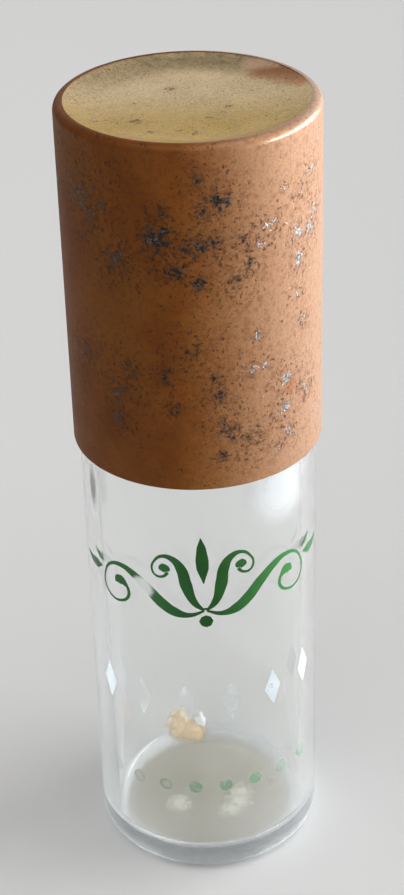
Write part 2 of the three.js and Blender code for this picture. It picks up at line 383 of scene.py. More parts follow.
def copper_lacquer():
    """Satin copper lacquer, rubbed shiny round the top, flaked and specked, with painted light: a painted
    sheen makes it paler on the right and painted shade darkens it on the left.
    """
    material, tree, place = new_material("copper_lacquer")
    cloud = noise(tree, place, 3.2 * MM, 4.0, 0.6)
    tarnish = noise(tree, place, 5.5 * MM, 3.0, 0.55)
    mottle = noise(tree, place, 0.5 * MM, 4.0, 0.65)
    chip = noise(tree, place, 0.55 * MM, 5.0, 0.72, 0.5)
    grit = noise(tree, place, 0.24 * MM, 3.0, 0.6)
    speck = noise(tree, place, 0.3 * MM, 4.0, 0.62, 0.4)
    grain = noise(tree, place, 0.18 * MM, 2.0, 0.6)
    drawn = noise(tree, stretched(tree, place, (1.0, 1.0, 0.04)), 0.16 * MM, 2.0)
    along, _, level = split(tree, place)
    aside = along / SLEEVE_R
    # Painted sheen: towards the right, where the window lamp shines, the colour is made paler and the
    # coat stronger
    painted_sheen_right = aside.smooth(-0.15, 0.52)
    rubbed = level.smooth(CAP_TOP - 2.0 * RIM, CAP_TOP - RIM)
    dull = wear_cover(tree, place, DULL_ZONES)
    clean = wear_cover(tree, place, CLEAN_ZONES)
    cover = dull.math("MAXIMUM", clean)
    near = cover.smooth(-2.0, 0.4)
    bared = chip + cover.math("MAXIMUM", 0.0) * 0.22
    flaked = bared.smooth(0.62, 0.69)
    pitted = (speck + near * 0.12).smooth(0.66, 0.715)
    stained = (mottle + near * 0.08).smooth(0.48, 0.75)
    warm = blend(tree, cloud.smooth(0.3, 0.7), rgb(0.225, 0.068, 0.011), rgb(0.3, 0.1, 0.019))
    golden = blend(tree, tarnish.smooth(0.42, 0.66) * 0.6, warm, rgb(0.32, 0.135, 0.028))
    # Painted shade: darker copper towards the left, away from the window lamp
    painted_shade_left = blend(tree, aside.smooth(0.1, -0.5) * 0.45, golden, rgb(0.13, 0.033, 0.006))
    # Painted sheen: paler, whiter copper on the right side
    painted_sheen_tone = blend(tree, painted_sheen_right * 0.78, painted_shade_left, rgb(0.41, 0.207, 0.098))
    pale = blend(tree, aside.smooth(0.05, 1.1) * 0.85, painted_sheen_tone, rgb(0.42, 0.264, 0.182))
    grained = blend(tree, grain.smooth(0.35, 0.7) * 0.3, pale, rgb(0.13, 0.045, 0.012))
    toned = blend(tree, stained * 0.45, grained, rgb(0.13, 0.042, 0.011))
    red = wear_cover(tree, place, RED_ZONES).smooth(0.0, 0.5)
    brown = bared.smooth(0.54, 0.64) * dull.smooth(-0.4, 0.2)
    reddened = blend(tree, red * 0.5, toned, rgb(0.36, 0.12, 0.05))
    browned = blend(tree, brown * 0.5, reddened, rgb(0.08, 0.03, 0.012))
    specked = blend(tree, pitted * 0.75, browned, rgb(0.06, 0.027, 0.014))
    # Colour of the flaked spots: near black, turning grey-brown towards the left
    dark_flake_colour = blend(tree, grit.smooth(0.45, 0.7), rgb(0.036, 0.026, 0.021), rgb(0.135, 0.119, 0.112))
    dark = blend(tree, aside.smooth(-0.3, -0.7) * 0.7, dark_flake_colour, rgb(0.11, 0.08, 0.062))
    metal = blend(tree, grit.smooth(0.38, 0.62), rgb(0.13, 0.125, 0.12), rgb(0.62, 0.61, 0.6))
    inside = bare_inside(tree, place)
    bare_metal = (clean - dull).smooth(-0.1, 0.1)
    worn = flaked.math("MAXIMUM", inside)
    under = blend(tree, inside, blend(tree, bare_metal, dark, metal), rgb(0.62, 0.61, 0.6))
    height = 1.0 - flaked + mottle * 0.2 + drawn * 0.12 - pitted * 0.3 + flaked * grit * 4.0
    return surfaced(material, tree, {
        "Base Color": blend(tree, worn, specked, under),
        "Metallic": 0.3 + worn * 0.6,
        "Roughness": 0.52 + mottle * 0.08 - flaked * 0.22,
        "Specular IOR Level": 0.08,
        "Coat Weight": (1.0 - worn) * (rubbed * (0.08 + painted_sheen_right * 0.4) + painted_sheen_right * 0.14),
        "Coat Roughness": 0.2,
        "Normal": bump(tree, height, 0.02 * MM, 0.8),
    })


def bare_inside(tree, place):
    """1 on the inner face of the sleeve, which has no lacquer."""
    level = split(tree, place)[2]
    inner = off_axis(tree, place).smooth(SLEEVE_R - 0.14 * MM, SLEEVE_R - 0.18 * MM)
    return inner * level.smooth(CAP_TOP - RIM, CAP_TOP - RIM - 0.2 * MM)


# Marks on the top disc, in millimetres from the axis: place and size. The speckled marks are real;
# the copper patch at the back right is painted light from the lit rim, and the pink spots are a painted
# highlight.
DISC_SPECKLED = (
    (-1.1, 3.1, 0.8), (-4.0, 0.1, 0.6), (-3.8, -3.2, 0.8), (-2.75, -5.4, 0.5), (-0.75, -5.4, 0.5),
    (0.5, -5.7, 0.6), (3.1, -0.9, 0.6), (2.3, -2.2, 0.8), (1.7, -3.1, 0.7), (-7.0, -3.2, 0.6),
)
DISC_RIM_LIGHT = (
    (5.8, 5.4, 0.9), (6.6, 5.2, 1.0), (7.2, 4.9, 1.1), (7.8, 4.3, 1.0), (8.3, 3.6, 0.9),
    (8.7, 2.7, 0.7),
)
DISC_PINK_HIGHLIGHT = (
    (4.9, 7.0, 0.6), (5.4, 6.9, 0.65), (5.9, 6.8, 0.65), (6.4, 6.5, 0.55), (6.9, 6.0, 0.35),
)


def spots(tree, place, marks, level, ragged, soft):
    """1 inside round marks on a level plane, with soft edges broken up by a noise."""
    covers = []
    for along, back, size in marks:
        apart = distance(tree, place, (along * MM, back * MM, level))
        covers.append((apart / (size * MM) + ragged).smooth(1.0 + soft, 1.0 - soft))
    return highest(covers)


def gold_disc():
    material, tree, place = new_material("gold_disc")
    cloud = noise(tree, place, 4.0 * MM, 4.0, 0.55)
    mottle = noise(tree, place, 0.5 * MM, 4.0, 0.7)
    grit = noise(tree, place, 0.2 * MM, 3.0, 0.62)
    scuff = noise(tree, stretched(tree, place, (0.12, 1.0, 1.0)), 0.25 * MM, 2.0)
    speckled = spots(tree, place, DISC_SPECKLED, DISC_TOP - DISC_DISH, mottle - 0.5, 0.8)
    fine_pits = (grit * 0.75 + mottle * 0.3 + cloud * 0.1).smooth(0.62, 0.71)
    pits = highest((fine_pits, (mottle * 0.7 + grit * 0.3 + speckled * 0.175).smooth(0.66, 0.71)))
    ragged = (cloud + mottle - 1.0) * 1.3
    # Painted light: copper colour at the back right edge stands for the lit inner wall of the copper rim
    painted_rim_light = spots(tree, place, DISC_RIM_LIGHT, DISC_TOP - DISC_DISH / 2, ragged, 0.8)
    # Painted highlight: pink spots near the back rim, less metallic so that the lamps light them
    painted_pink_highlight = spots(tree, place, DISC_PINK_HIGHLIGHT, DISC_TOP - DISC_DISH / 2, ragged, 0.8)
    back = split(tree, place)[1]
    pale = (back / (6.0 * MM) + cloud * 0.9 + mottle * 0.3 - 0.6).smooth(-0.75, 0.55)
    haze = (cloud * 0.8 + mottle * 0.35).smooth(0.45, 0.7)
    gold = blend(tree, pale, rgb(0.6, 0.4, 0.105), rgb(0.75, 0.575, 0.33))
    shaded = blend(tree, 0.45, gold, rgb(0.26, 0.17, 0.08))
    grained = blend(tree, (grit * 0.35 + mottle * 0.65).smooth(0.36, 0.56), shaded, gold)
    tinted = blend(tree, painted_rim_light * 0.95, grained, rgb(0.55, 0.24, 0.1))
    lit = blend(tree, painted_pink_highlight, tinted, rgb(0.62, 0.39, 0.255))
    colour = blend(tree, pits * 0.8, lit, rgb(0.2, 0.105, 0.035))
    return surfaced(material, tree, {
        "Base Color": colour,
        "Metallic": 1.0 - painted_pink_highlight * 0.8,
        "Roughness": 0.34 + haze * 0.08 + scuff * 0.06,
        "Normal": bump(tree, mottle * 0.4 + scuff * 0.4 + grit * 0.4 - pits, 0.012 * MM, 0.7),
    })


# Places where the print has rubbed off: angle in degrees from the front, height and size
GREEN_WORN = ((-31, 29.3, 1.1),)
WHITE_WORN = ((-35, 18.4, 2.2), (-11, 18.4, 2.1), (12, 18.4, 1.5))
FAINT_WORN = ((-54, 9.3, 0.8), (-38, 9.35, 0.5), (-22, 9.45, 0.6))


def printed_ink(name, deep, pale, wear, worn_spots, soft, cover=1.0, glow=0.0, thin=0.0):
    """Fired enamel print: two close tones, pinholes, and places where it has rubbed off.

    Soft is how gradually worn spots end, cover how opaque the print is, glow the light that it lets
    through on the left, where the window shines on it from inside, and thin how much its sides fade
    and pale, which is partly painted light: paler colour at the sides, most on the left, in shade.
    """
    material, tree, place = new_material(name)
    cloud = noise(tree, place, 1.6 * MM, 3.0)
    grain = noise(tree, place, 0.16 * MM, 3.0, 0.6)
    rubbed = (cloud * 0.6 + grain * 0.5).smooth(wear, wear + 0.12)
    for degrees, height, size in worn_spots:
        apart = distance(tree, place, on_round(BODY_R, degrees, height * MM))
        spot = (apart / (size * MM) + grain * 0.3).smooth(1.15 + soft, 1.15 - soft)
        rubbed = highest((rubbed, spot))
    along = split(tree, place)[0] / BODY_R
    aside = along.math("ABSOLUTE")
    # Painted light: the print's colour is made paler at its sides, most on the left side, which lies in
    # shade
    painted_light_sides = (aside - along * 0.4).smooth(0.0, 0.6)
    tone = cloud.smooth(0.35, 0.65) * (1.0 - thin) + painted_light_sides * thin
    opaque = cover - aside.smooth(0.78, 0.95) * thin * 0.5
    return surfaced(material, tree, {
        "Base Color": blend(tree, tone, deep, pale),
        "Roughness": 0.38 + grain * 0.15,
        "Specular IOR Level": 0.22,
        "Alpha": (1.0 - rubbed * 0.96) * opaque,
        "Emission Color": blend(tree, along.smooth(-0.6, 0.6), pale, rgb(0.0, 0.0, 0.0)),
        "Emission Strength": glow,
        "Normal": bump(tree, grain, 0.01 * MM, 0.5),
    })


def milky_plastic(name, colour, shade):
    material, tree, place = new_material(name)
    cloud = noise(tree, place, 2.5 * MM, 3.0)
    grain = noise(tree, place, 0.2 * MM, 2.0)
    return surfaced(material, tree, {
        "Base Color": blend(tree, cloud.smooth(0.3, 0.75), colour, shade),
        "Roughness": 0.36 + grain * 0.16,
        "Subsurface Weight": 0.15,
        "Subsurface Radius": (1.0 * MM, 0.9 * MM, 0.7 * MM),
        "Normal": bump(tree, grain, 0.01 * MM, 0.4),
    })


def pressed_foil():
    material, tree, place = new_material("pressed_foil")
    crease = noise(tree, place, 0.7 * MM, 4.0, 0.6, 1.2)
    dull = noise(tree, place, 2.0 * MM, 3.0)
    return surfaced(material, tree, {
        "Base Color": blend(tree, dull, rgb(0.6, 0.6, 0.61), rgb(0.78, 0.78, 0.79)),
        "Metallic": 1.0,
        "Roughness": 0.24 + dull * 0.2,
        "Normal": bump(tree, crease, 0.03 * MM, 0.7),
    })


def pulpboard():
    material, tree, place = new_material("pulpboard")
    fibre = noise(tree, stretched(tree, place, (1.0, 0.25, 1.0)), 0.2 * MM, 4.0, 0.65)
    fleck = noise(tree, place, 0.35 * MM, 2.0).smooth(0.62, 0.7)
    fawn = blend(tree, fibre, rgb(0.36, 0.24, 0.13), rgb(0.56, 0.41, 0.25))
    return surfaced(material, tree, {
        "Base Color": blend(tree, fleck * 0.7, fawn, rgb(0.2, 0.13, 0.08)),
        "Roughness": 0.85 + fibre * 0.12,
        "Normal": bump(tree, fibre, 0.04 * MM, 0.8),
    })


def dried_perfume(drops):
    """Amber residue that thins out towards the edge of each drop."""
    material, tree, place = new_material("dried_perfume")
    cloud = noise(tree, place, 1.2 * MM, 4.0, 0.6)
    grain = noise(tree, place, 0.25 * MM, 3.0)
    covers = []
    for degrees, climb, wide, tall, thick in drops:
        apart = distance(tree, place, cavity_point(degrees, climb * MM, thick * MM / 2))
        covers.append((apart / (max(wide, tall) * MM) + (cloud - 0.5) * 0.7).smooth(1.0, 0.2))
    amber = blend(tree, cloud.smooth(0.35, 0.65), rgb(0.92, 0.69, 0.4), rgb(0.94, 0.81, 0.6))
    return surfaced(material, tree, {
        "Base Color": amber,
        "Roughness": 0.4 + grain * 0.2,
        "Alpha": highest(covers) * 0.75,
        # Painted glow: a faint emission brightens the residue where it lies in shade
        "Emission Color": amber,
        "Emission Strength": 0.06,
        "Normal": bump(tree, grain + cloud, 0.03 * MM, 0.4),
    })


def white_crystal():
    material, tree, place = new_material("white_crystal")
    grain = noise(tree, place, 0.2 * MM, 3.0)
    return surfaced(material, tree, {
        "Base Color": blend(tree, grain, rgb(0.8, 0.83, 0.86), rgb(0.92, 0.93, 0.94)),
        "Roughness": 0.2 + grain * 0.2,
        # Painted glow: a faint emission keeps the crystal bright where it lies in shade
        "Emission Color": rgb(0.88, 0.92, 0.95),
        "Emission Strength": 0.2,
        "Subsurface Weight": 0.4,
        "Subsurface Radius": (0.5 * MM, 0.5 * MM, 0.5 * MM),
        "Normal": bump(tree, grain, 0.05 * MM, 0.6),
    })


# Painted reflections: pale spots in the film on the floor inside, standing for the window's
# reflections in the base, in millimetres from the axis: place and size
FILM_PAINTED_REFLECTIONS = ((2.9, -0.7, 0.8), (2.6, -1.9, 0.9), (1.8, -3.0, 0.8), (-2.6, -2.0, 0.9))


def perfume_film():
    """A thin hazy film, thicker in pale spots that are painted reflections, which fades out towards the
    edge of the floor; its faint glow is painted light.
    """
    material, tree, place = new_material("perfume_film")
    cloud = noise(tree, place, 3.0 * MM, 4.0, 0.6)
    grain = noise(tree, place, 0.5 * MM, 3.0, 0.6)
    ragged = (cloud - 0.5) * 1.2 + (grain - 0.5) * 2.0
    painted_reflection_spot = spots(tree, place, FILM_PAINTED_REFLECTIONS, BASE + FLOOR_CROWN, ragged, 0.9)
    edge = (off_axis(tree, place) + (cloud - 0.5) * 0.8 * MM).smooth(FILM_R, FILM_R - 1.6 * MM)
    tone = blend(tree, cloud.smooth(0.3, 0.7), rgb(0.52, 0.475, 0.33), rgb(0.64, 0.605, 0.49))
    return surfaced(material, tree, {
        "Base Color": blend(tree, painted_reflection_spot, tone, rgb(0.86, 0.85, 0.77)),
        "Roughness": 0.5 + grain * 0.2,
        "Alpha": (0.22 + cloud * 0.2 + painted_reflection_spot * 0.22) * edge,
        # Painted glow: a faint emission brightens the film, standing for light that comes through the
        # glass
        "Emission Color": rgb(0.62, 0.58, 0.4),
        "Emission Strength": 0.12,
        "Normal": bump(tree, grain, 0.02 * MM, 0.4),
    })


# Meshes

def arc(radius, height, across, up, start, end, steps):
    """Points along part of an ellipse, between two angles in degrees."""
    turns = [math.radians(start + (end - start) * i / steps) for i in range(steps + 1)]
    return [(radius + across * math.cos(a), height + up * math.sin(a)) for a in turns]


def round_arc(radius, height, size, start, end, steps):
    return arc(radius, height, size, size, start, end, steps)


def column(radius, low, high, rows):
    """Evenly spaced points up a straight wall."""
    return [(radius, low + (high - low) * i / rows) for i in range(rows + 1)]


def revolve(profile, looped=False):
    """Vertices and faces of a profile turned about the axis. It runs anticlockwise to face outwards."""
    vertices = []
    rows = []
    for radius, height in profile:
        if radius < 1e-9:
            rows.append([len(vertices)] * SEGMENTS)
            vertices.append((0.0, 0.0, height))
            continue
        rows.append(list(range(len(vertices), len(vertices) + SEGMENTS)))
        for i in range(SEGMENTS):
            angle = 2 * math.pi * i / SEGMENTS
            vertices.append((radius * math.cos(angle), radius * math.sin(angle), height))
    pairs = list(zip(rows, rows[1:]))
    if looped:
        pairs.append((rows[-1], rows[0]))
    faces = []
    for lower, upper in pairs:
        for i in range(SEGMENTS):
            j = (i + 1) % SEGMENTS
            corners = [lower[i], lower[j], upper[j], upper[i]]
            faces.append(list(dict.fromkeys(corners)))
    return vertices, faces


def make_piece(name, vertices, faces, material, sharp=SHARP):
    """A mesh object at the origin, smooth but for edges sharper than an angle."""
    mesh = bpy.data.meshes.new(name)
    mesh.from_pydata(vertices, [], faces)
    mesh.materials.append(material)
    mesh.shade_smooth()
    mesh.set_sharp_from_angle(angle=math.radians(sharp))
    return show(name, mesh)


def placed(name, data):
    made = bpy.data.objects.new(name, data)
    bpy.context.scene.collection.objects.link(made)
    return made


def show(name, mesh):
    mesh.name = name
    return placed(name, mesh)


def turned(name, profile, material, looped=False, sharp=SHARP):
    return make_piece(name, *revolve(profile, looped), material, sharp)


def new_tree(name, sizes):
    """An empty Geometry Nodes tree with a geometry socket each way and named sizes."""
    tree = bpy.data.node_groups.new(name, "GeometryNodeTree")
    face = tree.interface
    face.new_socket("Geometry", in_out="OUTPUT", socket_type="NodeSocketGeometry")
    face.new_socket("Geometry", in_out="INPUT", socket_type="NodeSocketGeometry")
    for size in sizes:
        face.new_socket(size, in_out="INPUT", socket_type="NodeSocketFloat")
    return tree, Wire(tree, tree.nodes.new("NodeGroupInput").outputs[0])


def end_tree(tree, geometry, material):
    realized = node(tree, "GeometryNodeRealizeInstances", {0: geometry})
    finished = node(tree, "GeometryNodeSetMaterial", {"Geometry": realized, "Material": material})
    last = tree.nodes.new("NodeGroupOutput")
    tree.links.new(finished.socket, last.inputs[0])


def grown_mesh(source, tree, sizes):
    """The plain mesh that a tree makes of an object with these sizes."""
    modifier = source.modifiers.new(tree.name, "NODES")
    modifier.node_group = tree
    for item in tree.interface.items_tree:
        if item.in_out == "INPUT" and item.name in sizes:
            modifier[item.identifier] = sizes[item.name]
    graph = bpy.context.evaluated_depsgraph_get()
    mesh = bpy.data.meshes.new_from_object(source.evaluated_get(graph), depsgraph=graph)
    source.modifiers.remove(modifier)
    return mesh


def thread_tree(material):
    """Raises a helical ridge on the vertices whose weight is set."""
    tree, given = new_tree("moulded_thread", ("Pitch", "Depth", "Crest", "Flank", "Start", "Turns"))
    pitch = given.out("Pitch")
    crest = given.out("Crest")
    place = node(tree, "GeometryNodeInputPosition")
    across, back, level = split(tree, place)
    turn = back.math("ARCTAN2", across) / (2 * math.pi)
    along = (level - given.out("Start")) / pitch - turn
    nearest = along.math("ROUND")
    away = (along - nearest).math("ABSOLUTE") * pitch
    run = nearest + turn
    taper = run.smooth(0.0, THREAD_RUN_OUT) * (given.out("Turns") - run).smooth(0.0, THREAD_RUN_OUT)
    ridge = away.smooth(crest + given.out("Flank"), crest)
    sockets = {"Name": "threaded"}
    weight = node(tree, "GeometryNodeInputNamedAttribute", sockets, {"data_type": "FLOAT"})
    rise = ridge * taper * weight * given.out("Depth")
    flat = node(tree, "ShaderNodeCombineXYZ", {0: across, 1: back})
    outward = node(tree, "ShaderNodeVectorMath", {0: flat}, {"operation": "NORMALIZE"})
    sockets = {0: outward, "Scale": rise}
    offset = node(tree, "ShaderNodeVectorMath", sockets, {"operation": "SCALE"})
    moved = node(tree, "GeometryNodeSetPosition", {"Geometry": given, "Offset": offset})
    end_tree(tree, moved, material)
    return tree


def cut_thread(piece, material, depth, start):
    """Puts the thread on a piece whose threaded wall is marked."""
    sizes = {"Pitch": PITCH, "Depth": depth, "Crest": THREAD_CREST, "Flank": THREAD_FLANK}
    sizes.update({"Start": start, "Turns": THREAD_TURNS})
    mesh = grown_mesh(piece, thread_tree(material), sizes)
    mesh.set_sharp_from_angle(angle=math.radians(SOFT_SHARP))
    piece.data = mesh


def mark_threaded(piece, radius, low, high):
    """Weights the vertices of one straight wall, so that only they take the thread."""
    weights = piece.data.attributes.new("threaded", "FLOAT", "POINT")
    for vertex, weight in zip(piece.data.vertices, weights.data):
        reach = math.hypot(vertex.co.x, vertex.co.y)
        on_wall = abs(reach - radius) < ON_WALL and low < vertex.co.z < high
        weight.value = 1.0 if on_wall else 0.0


def glass_bottle(material):
    foot_outer = BODY_R - HEEL
    foot_inner = foot_outer - FOOT
    neck_foot = NECK_R + NECK_FILLET
    flare_foot = BORE_R + BORE_FLARE
    cavity_shoulder = BODY_TOP - WALL
    flare_bottom = cavity_shoulder + SHOULDER
    floor_edge = CAVITY_R - FLOOR_CORNER
    neck_low = SHOULDER_TOP + NECK_FILLET
    neck_high = LIP_TOP - LIP
    outside = [
        *arc(0, 0, foot_inner, PUSH_UP, 90, 0, 12),
        *round_arc(foot_outer, HEEL, HEEL, 270, 360, 12),
        *arc(neck_foot, BODY_TOP, BODY_R - neck_foot, SHOULDER, 0, 90, 14),
        *round_arc(neck_foot, neck_low, NECK_FILLET, 270, 180, 6)[1:],
        *column(NECK_R, neck_low, neck_high, 64)[1:-1],
        *round_arc(NECK_R - LIP, LIP_TOP - LIP, LIP, 0, 90, 6),
    ]
    inside = [
        *round_arc(BORE_R + LIP_INNER, LIP_TOP - LIP_INNER, LIP_INNER, 90, 180, 5),
        *round_arc(flare_foot, flare_bottom + BORE_FLARE, BORE_FLARE, 180, 270, 8),
        *arc(flare_foot, cavity_shoulder, CAVITY_R - flare_foot, SHOULDER, 90, 0, 12)[1:],
        *round_arc(floor_edge, BASE + FLOOR_CORNER, FLOOR_CORNER, 360, 270, 10),
        *arc(0, BASE, floor_edge, FLOOR_CROWN, 0, 90, 10)[1:],
    ]
    piece = turned("glass", outside + inside, material, sharp=GLASS_SHARP)
    mark_threaded(piece, NECK_R, neck_low, neck_high)
    cut_thread(piece, material, THREAD_DEPTH, THREAD_START)
    return piece


def pour_plug(material):
    inner = SHANK_R - SHANK_WALL
    bottom = PLUG_LOW.z
    top = PLUG_HIGH.z
    seat = top - FLANGE
    edge = PLUG_HIGH.x
    beads = []
    for height in PLUG_BEAD_HEIGHTS:
        beads += arc(SHANK_R, bottom + height, PLUG_BEAD, PLUG_BEAD_RISE, -90, 90, 6)
    loop = [
        (inner, bottom),
        (SHANK_R - PLUG_LEAD_IN / 2, bottom),
        (SHANK_R, bottom + PLUG_LEAD_IN),
        *beads,
        (SHANK_R, seat),
        *round_arc(edge - FLANGE_ROUND, seat + FLANGE_ROUND, FLANGE_ROUND, 270, 360, 4),
        *round_arc(edge - FLANGE_ROUND, top - FLANGE_ROUND, FLANGE_ROUND, 0, 90, 4),
        (CONE_R, top),
        (ORIFICE_R + ORIFICE_CHAMFER, seat + CHAMFER_RISE),
        (ORIFICE_R, seat - CHAMFER_DROP),
        (ORIFICE_R, seat - ROOF),
        (inner, seat - ROOF),
    ]
    return turned("plug", loop, material, looped=True)


def liner_layer(name, low, high, material):
    edge = high.x - LINER_EDGE
    profile = [
        (0, low.z),
        *round_arc(edge, low.z + LINER_EDGE, LINER_EDGE, 270, 360, 3),
        *round_arc(edge, high.z - LINER_EDGE, LINER_EDGE, 0, 90, 3),
        (0, high.z),
    ]
    return turned(name, profile, material)


def rib_tree(material):
    """A ring of ribs: one block at each point of a circle, turned to face outwards."""
    tree, given = new_tree("rib_ring", ("Ring radius", "Depth", "Width", "Height", "Middle"))
    sockets = {"Vertices": RIB_COUNT, "Radius": given.out("Ring radius")}
    circle = node(tree, "GeometryNodeMeshCircle", sockets, {"fill_type": "NONE"})
    sockets = {0: given.out("Depth"), 1: given.out("Width"), 2: given.out("Height")}
    size = node(tree, "ShaderNodeCombineXYZ", sockets)
    block = node(tree, "GeometryNodeMeshCube", {"Size": size})
    place = node(tree, "GeometryNodeInputPosition")
    settings = {"axis": "X", "pivot_axis": "Z"}
    facing = node(tree, "FunctionNodeAlignRotationToVector", {"Vector": place}, settings)
    sockets = {"Points": circle, "Instance": block, "Rotation": facing}
    ring = node(tree, "GeometryNodeInstanceOnPoints", sockets)
    lift = node(tree, "ShaderNodeCombineXYZ", {2: given.out("Middle")})
    raised = node(tree, "GeometryNodeTransform", {"Geometry": ring, "Translation": lift})
    both = node(tree, "GeometryNodeJoinGeometry", {"Geometry": raised})
    tree.links.new(given.socket, both.socket.node.inputs[0])
    end_tree(tree, both, material)
    return tree


def inner_cap(material):
    outer = INNER_HIGH.x
    low = INNER_LOW.z
    high = INNER_HIGH.z
    spacer = outer - SPACER_WALL
    profile = [
        (0, WEB_BOTTOM),
        *column(SOCKET_R, WEB_BOTTOM, low, 70),
        (SOCKET_OUTER, low),
        (SOCKET_OUTER, WEB_BOTTOM),
        (outer, WEB_BOTTOM),
        (outer, high),
        (spacer, high),
        (spacer, WEB_BOTTOM + WEB),
        (0, WEB_BOTTOM + WEB),
    ]
    piece = turned("inner_socket", profile, material)
    mark_threaded(piece, SOCKET_R, low, WEB_BOTTOM)
    cut_thread(piece, material, -THREAD_DEPTH, THREAD_START + PITCH / 2)
    rib_low = SOCKET_OUTER - RIB_ROOT
    rib_high = math.sqrt(outer ** 2 - (RIB_WIDTH / 2) ** 2) - RIB_CLEARANCE
    rib_top = WEB_BOTTOM + WEB / 2
    sizes = {"Ring radius": (rib_low + rib_high) / 2, "Depth": rib_high - rib_low}
    sizes.update({"Width": RIB_WIDTH, "Height": rib_top - low, "Middle": (rib_top + low) / 2})
    piece.data = grown_mesh(piece, rib_tree(material), sizes)
    return piece


def cap_sleeve(material):
    rim_centre = SLEEVE_R - RIM
    rim_level = CAP_TOP - RIM
    inner = SLEEVE_R - SLEEVE_WALL
    low = SLEEVE_LOW.z
    loop = [
        *round_arc(SLEEVE_R - SLEEVE_EDGE, low + SLEEVE_EDGE, SLEEVE_EDGE, 270, 360, 4),
        *round_arc(rim_centre, rim_level, RIM, 0, 90 + RIM_LIP, 14),
        (rim_centre, CAP_TOP - RIM_TUCK),
        *round_arc(rim_centre, rim_level, RIM - SLEEVE_WALL, 90, 0, 8),
        *round_arc(inner + SLEEVE_EDGE, low + SLEEVE_EDGE, SLEEVE_EDGE, 180, 270, 4),
    ]
    return turned("sleeve", loop, material, looped=True, sharp=SOFT_SHARP)


def top_disc(material):
    curve = ((DISC_R - DISC_FLAT_R) ** 2 + DISC_DISH ** 2) / (2 * DISC_DISH)
    floor = DISC_TOP - DISC_DISH
    steps = 16
    upper = [(0, floor), (DISC_FLAT_R / 2, floor)]
    for i in range(steps + 1):
        radius = DISC_FLAT_R + (DISC_R - DISC_FLAT_R) * i / steps
        rise = curve - math.sqrt(curve ** 2 - (radius - DISC_FLAT_R) ** 2)
        upper.append((radius, floor + rise))
    lower = [(radius, height - DISC_SHEET) for radius, height in upper]
    return turned("top_disc", lower + upper[::-1], material, sharp=SOFT_SHARP)


# Printed ornament, in millimetres along and up the glass from its middle: places and half widths
PRINT_MIDDLE = 0.15
PRINT_LEVEL = 27.8
PRINT_TILT = math.radians(1.9)
PRINT_THICKNESS = 0.02 * MM
PRINT_LIFT = 0.003 * MM
INNER_VOLUTE = (
    (0.1, 0.0, 0.1), (0.82, 0.78, 0.3), (1.4, 2.46, 0.5), (1.7, 3.94, 0.44), (2.32, 4.87, 0.28),
    (3.2, 5.1, 0.15), (3.95, 4.46, 0.1), (4.15, 3.79, 0.09), (3.85, 3.2, 0.1), (3.25, 3.18, 0.12),
    (2.82, 3.6, 0.15),
)
INNER_EYE = (
    (2.68, 3.75, 0.1), (2.88, 3.93, 0.32), (3.15, 3.98, 0.44), (3.4, 3.92, 0.3), (3.55, 3.85, 0.05),
)
OUTER_VOLUTE = (
    (0.1, -0.05, 0.08), (1.37, -0.41, 0.22), (2.5, -0.13, 0.44), (3.57, 0.64, 0.5),
    (4.7, 1.79, 0.46), (6.08, 2.82, 0.34), (7.2, 3.16, 0.22), (8.5, 2.77, 0.13), (9.3, 1.59, 0.09),
    (9.35, 0.41, 0.08), (8.6, -0.36, 0.09), (7.4, -0.31, 0.12), (6.6, 0.48, 0.15),
    (6.65, 1.3, 0.15),
)
OUTER_EYE = ((6.62, 1.1, 0.08), (6.9, 1.45, 0.25), (7.3, 1.68, 0.46), (7.7, 1.6, 0.4), (8.0, 1.3, 0.06))
LOWER_LEAF = ((9.7, 2.0, 0.05), (10.6, 1.8, 0.42), (11.5, 1.75, 0.34), (12.6, 2.0, 0.04))
UPPER_LEAF = ((9.5, 2.6, 0.04), (10.0, 2.8, 0.2), (10.7, 3.4, 0.03))
BUD = ((0.0, 6.9, 0.04), (0.0, 6.0, 0.36), (0.0, 4.8, 0.52), (0.0, 4.0, 0.48), (0.0, 2.6, 0.04))
DROP = (
    (-0.56, -1.05, 0.06), (-0.36, -1.05, 0.44), (0.0, -1.05, 0.58), (0.36, -1.05, 0.44),
    (0.56, -1.05, 0.06),
)
KNOT = ((-0.28, 0.02, 0.09), (0.0, 0.16, 0.1), (0.28, 0.02, 0.09))
SCROLL_SIDE = (INNER_VOLUTE, INNER_EYE, OUTER_VOLUTE, OUTER_EYE, LOWER_LEAF, UPPER_LEAF)
SCROLL_MIDDLE = (BUD, DROP, KNOT)

# Plain marks in two rows below the scroll: one mark of each row, how many, and how far apart
LOZENGE = ((0.0, 1.75, 0.05), (0.0, 0.7, 0.5), (0.0, 0.0, 0.8), (0.0, -0.7, 0.5), (0.0, -1.75, 0.05))
LOZENGE_COUNT = 6
LOZENGE_SPACING = 3.82 * MM
LOZENGE_LEVEL = 18.45 * MM
POINT = ((-0.6, 0.0, 0.06), (-0.38, 0.0, 0.46), (0.0, 0.0, 0.62), (0.38, 0.0, 0.46), (0.6, 0.0, 0.06))
POINT_COUNT = 8
POINT_SPACING = 2.6 * MM
POINT_LEVEL = 9.6 * MM


def stroke(curve, points, side):
    """Adds one stroke to a flat curve, mirrored when side is -1."""
    spline = curve.splines.new("BEZIER")
    spline.bezier_points.add(len(points) - 1)
    spline.resolution_u = 10
    for knot, (along, up, half) in zip(spline.bezier_points, points):
        knot.co = (side * along * MM, up * MM, 0.0)
        knot.radius = half
        knot.handle_left_type = "AUTO"
        knot.handle_right_type = "AUTO"


